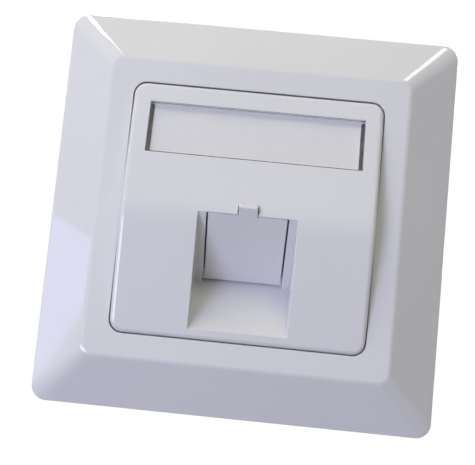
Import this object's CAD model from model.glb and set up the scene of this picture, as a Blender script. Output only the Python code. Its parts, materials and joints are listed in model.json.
import json
import math

import bmesh
import bpy
from mathutils import Euler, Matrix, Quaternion, Vector

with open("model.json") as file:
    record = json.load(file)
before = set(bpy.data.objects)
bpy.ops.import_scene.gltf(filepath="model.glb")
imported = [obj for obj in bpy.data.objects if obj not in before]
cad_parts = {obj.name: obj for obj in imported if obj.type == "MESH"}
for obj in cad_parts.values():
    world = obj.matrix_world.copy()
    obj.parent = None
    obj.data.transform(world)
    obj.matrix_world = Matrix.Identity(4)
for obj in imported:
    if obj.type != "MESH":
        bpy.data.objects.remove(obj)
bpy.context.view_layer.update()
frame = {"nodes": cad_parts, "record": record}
for plain in list(bpy.data.materials):
    bpy.data.materials.remove(plain)

# Camera at the photograph's viewing angle: metres, degrees, millimetres of lens, shares of the width
camera_place = (0.0011, -0.2235, -0.0258)
camera_turn = (97.091, -5.732, 1.424)
camera_lens = 83.37
camera_shift = (0.0505, -0.0505)
camera_near = 0.01

# Floor below the outlet, in metres: it fades to the white of the surroundings between two distances
floor_level = -0.6
floor_radius = 4.0
floor_sides = 96
floor_colour = (0.86, 0.86, 0.86, 1.0)
floor_roughness = 0.9
floor_fade_start = 0.5
floor_fade_end = 1.1

# Surroundings: white where they are seen, a soft warm light elsewhere
white = (1.0, 1.0, 1.0, 1.0)
room_colour = (1.0, 0.99, 0.85, 1.0)
room_strength = 0.18

# Lamps: name, then azimuth, elevation and roll in degrees as seen from the outlet, then distance, width and
# height in metres, then watts, colour and what the lamp gives: soft light, shine on glossy pieces, or both
lamps = [
    ("key_lamp", -30.0, -1.0, 0.0, 0.6, 0.24, 0.24, 1.692, (0.65, 0.66, 1.0), "soft"),
    ("low_lamp", -25.0, -38.0, 0.0, 0.6, 0.40, 0.30, 0.344, (0.63, 0.64, 1.0), "soft"),
    ("high_lamp", 18.0, 50.0, 0.0, 0.6, 0.20, 0.20, 0.637, (1.0, 0.99, 0.8), "soft"),
    ("wide_lamp", -55.0, 50.0, 0.0, 0.6, 0.30, 0.30, 1.367, (1.0, 0.99, 0.8), "soft"),
    ("top_left_lamp", -60.9, 67.5, 0.0, 0.6, 0.045, 0.125, 0.21, (1.0, 1.0, 1.0), "shine"),
    ("top_right_lamp", 55.0, 65.5, 0.0, 0.6, 0.040, 0.136, 0.12, (1.0, 1.0, 1.0), "shine"),
    ("top_back_lamp", -154.0, 60.0, 0.0, 0.6, 0.10, 0.22, 0.64, (1.0, 1.0, 1.0), "shine"),
    ("window_lamp", -82.0, -0.9, -27.0, 0.6, 0.10, 0.14, 0.125, (0.50, 0.52, 1.0), "shine"),
    ("rim_lamp", -40.0, -17.0, -10.0, 0.6, 0.41, 0.16, 1.80, (0.76, 0.78, 1.0), "shine"),
    ("back_left_lamp", 145.0, 20.0, 0.0, 0.7, 0.40, 0.40, 1.8, (1.0, 1.0, 1.0), "both"),
    ("back_right_lamp", -145.0, 35.0, 0.0, 0.7, 0.40, 0.40, 2.4, (1.0, 1.0, 1.0), "both"),
]

# Rounding of the edges, in metres, and the samples that smooth it
edge_round = 0.00032
metal_edge_round = edge_round / 2
edge_samples = 8

# Noise of the finishes: levels of detail, the range that it mostly keeps to, stretch along the axes
coarse_detail = 3.0
fine_detail = 5.0
fibre_detail = 6.0
noise_start = 0.3
noise_end = 0.7
even = (1.0, 1.0, 1.0)
fibre_stretch = (0.35, 1.0, 1.0)
drawn_stretch = (1.0, 1.0, 0.12)

# Glossy white plastic: darker and lighter colour, range of roughness, refractive index, sizes in metres
gloss_colours = ((0.75, 0.75, 0.755, 1.0), (0.77, 0.77, 0.772, 1.0))
gloss_roughness = (0.03, 0.05)
gloss_index = 1.5
gloss_flow_size = 0.022
gloss_skin_size = 0.0009
gloss_skin_depth = 0.000002

# Clear plastic of the label's window, in the same terms
window_colour = (0.99, 0.99, 0.99, 1.0)
window_roughness = (0.02, 0.06)
window_index = 1.49
window_haze_size = 0.002
window_wave_size = 0.006
window_wave_depth = 0.000002

# Card of the label, in the same terms
card_colours = ((0.70, 0.70, 0.695, 1.0), (0.74, 0.74, 0.735, 1.0))
card_roughness = (0.75, 0.9)
card_index = 1.4
fibre_size = 0.0004
fibre_depth = 0.00001

# Metals: darker and lighter colour, lowest roughness, stretch of the grain; then what they share
metals = {
    "plated_steel": ((0.58, 0.60, 0.62, 1.0), (0.68, 0.69, 0.70, 1.0), 0.28, drawn_stretch),
    "screw_steel": ((0.60, 0.60, 0.58, 1.0), (0.72, 0.71, 0.68, 1.0), 0.22, even),
    "contact_metal": ((0.80, 0.58, 0.24, 1.0), (0.88, 0.67, 0.32, 1.0), 0.16, even),
    "terminal_metal": ((0.62, 0.60, 0.56, 1.0), (0.74, 0.72, 0.69, 1.0), 0.24, even),
}
metal_roughness_spread = 0.14
cloud_size = 0.004
drawn_size = 0.0015
drawn_depth = 0.000005

# Matte mouldings and the board: darker and lighter colour, lowest roughness, size of the skin's grain;
# then what they share
matte_skin_size = 0.0005
board_weave_size = 0.0012
matte_plastics = {
    "carrier_plastic": ((0.55, 0.56, 0.57, 1.0), (0.60, 0.61, 0.62, 1.0), 0.42, matte_skin_size),
    "jack_plastic": ((0.018, 0.018, 0.02, 1.0), (0.028, 0.028, 0.03, 1.0), 0.38, matte_skin_size),
    "terminal_plastic": ((0.03, 0.03, 0.032, 1.0), (0.04, 0.04, 0.042, 1.0), 0.4, matte_skin_size),
    "cap_plastic": ((0.68, 0.68, 0.65, 1.0), (0.74, 0.74, 0.71, 1.0), 0.36, matte_skin_size),
    "board": ((0.012, 0.09, 0.035, 1.0), (0.02, 0.13, 0.05, 1.0), 0.3, board_weave_size),
}
matte_roughness_spread = 0.15
matte_index = 1.5
matte_flow_size = 0.008
matte_skin_depth = 0.00002


class Surface:
    """A material in the making: its principled shader and the nodes that feed it."""

    def __init__(self, name, **sockets):
        self.material = bpy.data.materials.new(name)
        self.material.use_nodes = True
        self.tree = self.material.node_tree
        self.shader = self.tree.nodes["Principled BSDF"]
        for socket, value in sockets.items():
            self.shader.inputs[socket.replace("_", " ")].default_value = value

    def node(self, kind, links=None, **sockets):
        made = self.tree.nodes.new("ShaderNode" + kind)
        for socket, value in sockets.items():
            made.inputs[socket.replace("_", " ")].default_value = value
        for socket, source in (links or {}).items():
            self.tree.links.new(source, made.inputs[socket])
        return made

    def feed(self, socket, source):
        self.tree.links.new(source, self.shader.inputs[socket])

    def show_mix(self, share, other):
        """Show the other shader in place of the principled one by that share."""
        mix = self.node("MixShader", {0: share, 1: self.shader.outputs[0], 2: other})
        self.tree.links.new(mix.outputs[0], self.tree.nodes["Material Output"].inputs["Surface"])

    def grain(self, size, detail=coarse_detail, stretch=even):
        """Noise whose lumps are about that many metres across, fixed to the piece."""
        place = self.node("TexCoord").outputs["Object"]
        spread = self.node("Mapping", {"Vector": place}, Scale=stretch).outputs["Vector"]
        return self.node("TexNoise", {"Vector": spread}, Scale=1.0 / size, Detail=detail).outputs["Fac"]

    def between(self, source, low, high, start=noise_start, end=noise_end):
        """A number that runs from low to high as the source runs from start to end."""
        ramp = self.node("MapRange", {"Value": source}, From_Min=start, From_Max=end, To_Min=low, To_Max=high)
        return ramp.outputs["Result"]

    def tint(self, source, low, high):
        """A colour that runs from low to high with the source."""
        mix = self.node("Mix", {"Factor": self.between(source, 0.0, 1.0)})
        mix.data_type = "RGBA"
        colours = [s for s in mix.inputs if s.type == "RGBA"]
        colours[0].default_value = low
        colours[1].default_value = high
        return [s for s in mix.outputs if s.type == "RGBA"][0]

    def rounded(self, radius=edge_round):
        """Normals that run round the sharp edges with that radius."""
        bevel = self.node("Bevel", Radius=radius)
        bevel.samples = edge_samples
        return bevel.outputs["Normal"]

    def bump(self, height, depth, normal=None):
        """Surface relief of that many metres, on top of other normals if they are given."""
        links = {"Height": height}
        if normal:
            links["Normal"] = normal
        relief = self.node("Bump", links, Distance=depth, Strength=1.0)
        self.feed("Normal", relief.outputs["Normal"])


def white_plastic():
    """Glossy white moulding: faint flow marks in the colour, and a fine skin that softens the gloss."""
    surface = Surface("white_plastic", IOR=gloss_index)
    flow = surface.grain(gloss_flow_size)
    skin = surface.grain(gloss_skin_size, fine_detail)
    surface.feed("Base Color", surface.tint(flow, *gloss_colours))
    surface.feed("Roughness", surface.between(skin, *gloss_roughness))
    surface.bump(skin, gloss_skin_depth, surface.rounded())
    return surface.material


def clear_plastic():
    """Clear moulding of the label's window, which lets the lamps' light through to the card."""
    surface = Surface("clear_plastic", Base_Color=window_colour, IOR=window_index, Transmission_Weight=1.0)
    haze = surface.grain(window_haze_size)
    surface.feed("Roughness", surface.between(haze, *window_roughness))
    surface.bump(surface.grain(window_wave_size), window_wave_depth)
    path = surface.node("LightPath").outputs
    soft = surface.node("Math", {0: path["Is Shadow Ray"], 1: path["Is Diffuse Ray"]})
    soft.operation = "MAXIMUM"
    through = surface.node("BsdfTransparent", Color=white)
    surface.show_mix(soft.outputs[0], through.outputs[0])
    return surface.material


def card():
    """Plain white card with a trace of fibre."""
    surface = Surface("card", IOR=card_index)
    fibre = surface.grain(fibre_size, fibre_detail, fibre_stretch)
    surface.feed("Base Color", surface.tint(fibre, *card_colours))
    surface.feed("Roughness", surface.between(fibre, *card_roughness))
    surface.bump(fibre, fibre_depth)
    return surface.material


def metal(name, low, high, gloss, stretch):
    """Plated metal: cloudy colour and a drawn grain."""
    surface = Surface(name, Metallic=1.0)
    cloud = surface.grain(cloud_size)
    drawn = surface.grain(drawn_size, fine_detail, stretch)
    surface.feed("Base Color", surface.tint(cloud, low, high))
    surface.feed("Roughness", surface.between(drawn, gloss, gloss + metal_roughness_spread))
    surface.bump(drawn, drawn_depth, surface.rounded(metal_edge_round))
    return surface.material


def matte_plastic(name, low, high, gloss, skin_size):
    """Matte moulding with a spark-eroded skin."""
    surface = Surface(name, IOR=matte_index)
    flow = surface.grain(matte_flow_size)
    skin = surface.grain(skin_size, fine_detail)
    surface.feed("Base Color", surface.tint(flow, low, high))
    surface.feed("Roughness", surface.between(skin, gloss, gloss + matte_roughness_spread))
    surface.bump(skin, matte_skin_depth, surface.rounded())
    return surface.material


def make_materials():
    made = {
        "white_plastic": white_plastic(),
        "clear_plastic": clear_plastic(),
        "card": card(),
    }
    for name, look in metals.items():
        made[name] = metal(name, *look)
    for name, look in matte_plastics.items():
        made[name] = matte_plastic(name, *look)
    return made


def dress(materials):
    """Give each solid the finish that its record names."""
    for row in frame["record"]["subparts"]:
        for place in frame["nodes"][row["node"]].material_slots:
            place.material = materials[row["material_slot"]]


def seen_rays(tree):
    """1 for rays that show the surroundings, straight, in gloss or through clear pieces, 0 for soft light."""
    path = tree.nodes.new("ShaderNodeLightPath")
    total = path.outputs["Is Camera Ray"]
    for name in ("Is Glossy Ray", "Is Transmission Ray"):
        either = tree.nodes.new("ShaderNodeMath")
        either.operation = "MAXIMUM"
        tree.links.new(total, either.inputs[0])
        tree.links.new(path.outputs[name], either.inputs[1])
        total = either.outputs[0]
    direct = tree.nodes.new("ShaderNodeMath")
    direct.operation = "LESS_THAN"
    direct.inputs[1].default_value = 0.5
    tree.links.new(path.outputs["Diffuse Depth"], direct.inputs[0])
    share = tree.nodes.new("ShaderNodeMath")
    share.operation = "MULTIPLY"
    tree.links.new(total, share.inputs[0])
    tree.links.new(direct.outputs[0], share.inputs[1])
    return share.outputs[0]


def make_floor():
    """Round pale floor."""
    mesh = bpy.data.meshes.new("floor")
    shape = bmesh.new()
    bmesh.ops.create_circle(shape, cap_ends=True, radius=floor_radius, segments=floor_sides)
    shape.to_mesh(mesh)
    shape.free()
    floor = bpy.data.objects.new("floor", mesh)
    floor.location.z = floor_level
    bpy.context.scene.collection.objects.link(floor)
    surface = Surface("floor", Base_Color=floor_colour, Roughness=floor_roughness)
    place = surface.node("TexCoord").outputs["Object"]
    reach = surface.node("VectorMath", {0: place})
    reach.operation = "LENGTH"
    fade = surface.between(reach.outputs["Value"], 0.0, 1.0, floor_fade_start, floor_fade_end)
    share = surface.node("Math", {0: fade, 1: seen_rays(surface.tree)})
    share.operation = "MULTIPLY"
    glow = surface.node("Emission", Color=white, Strength=1.0)
    surface.show_mix(share.outputs[0], glow.outputs[0])
    mesh.materials.append(surface.material)


def make_world():
    """White surroundings with a soft light of their own."""
    world = bpy.data.worlds.new("studio")
    world.use_nodes = True
    bpy.context.scene.world = world
    tree = world.node_tree
    light = tree.nodes["Background"]
    light.inputs["Color"].default_value = room_colour
    light.inputs["Strength"].default_value = room_strength
    shown = tree.nodes.new("ShaderNodeBackground")
    shown.inputs["Color"].default_value = white
    shown.inputs["Strength"].default_value = 1.0
    mix = tree.nodes.new("ShaderNodeMixShader")
    tree.links.new(seen_rays(tree), mix.inputs[0])
    tree.links.new(light.outputs[0], mix.inputs[1])
    tree.links.new(shown.outputs[0], mix.inputs[2])
    tree.links.new(mix.outputs[0], tree.nodes["World Output"].inputs["Surface"])


def make_lamp(name, azimuth, elevation, roll, distance, width, height, watts, colour, gives):
    """Soft box that faces the outlet from the given side."""
    around = math.radians(azimuth)
    up = math.radians(elevation)
    way = Vector((math.sin(around) * math.cos(up), -math.cos(around) * math.cos(up), math.sin(up)))
    data = bpy.data.lights.new(name, "AREA")
    data.shape = "RECTANGLE"
    data.size = width
    data.size_y = height
    data.energy = watts
    data.color = colour
    lamp = bpy.data.objects.new(name, data)
    lamp.location = way * distance
    turn = (-way).to_track_quat("-Z", "Y") @ Quaternion((0.0, 0.0, 1.0), math.radians(roll))
    lamp.rotation_euler = turn.to_euler()
    lamp.visible_diffuse = gives != "shine"
    lamp.visible_glossy = gives != "soft"
    bpy.context.scene.collection.objects.link(lamp)


def make_camera():
    """Camera that sees the outlet as the photograph does."""
    data = bpy.data.cameras.new("camera")
    data.lens = camera_lens
    data.shift_x, data.shift_y = camera_shift
    data.clip_start = camera_near
    camera = bpy.data.objects.new("camera", data)
    camera.location = camera_place
    camera.rotation_euler = Euler([math.radians(a) for a in camera_turn])
    bpy.context.scene.collection.objects.link(camera)
    bpy.context.scene.camera = camera


dress(make_materials())
make_floor()
make_world()
for lamp in lamps:
    make_lamp(*lamp)
make_camera()
bpy.context.scene.view_settings.view_transform = "Standard"
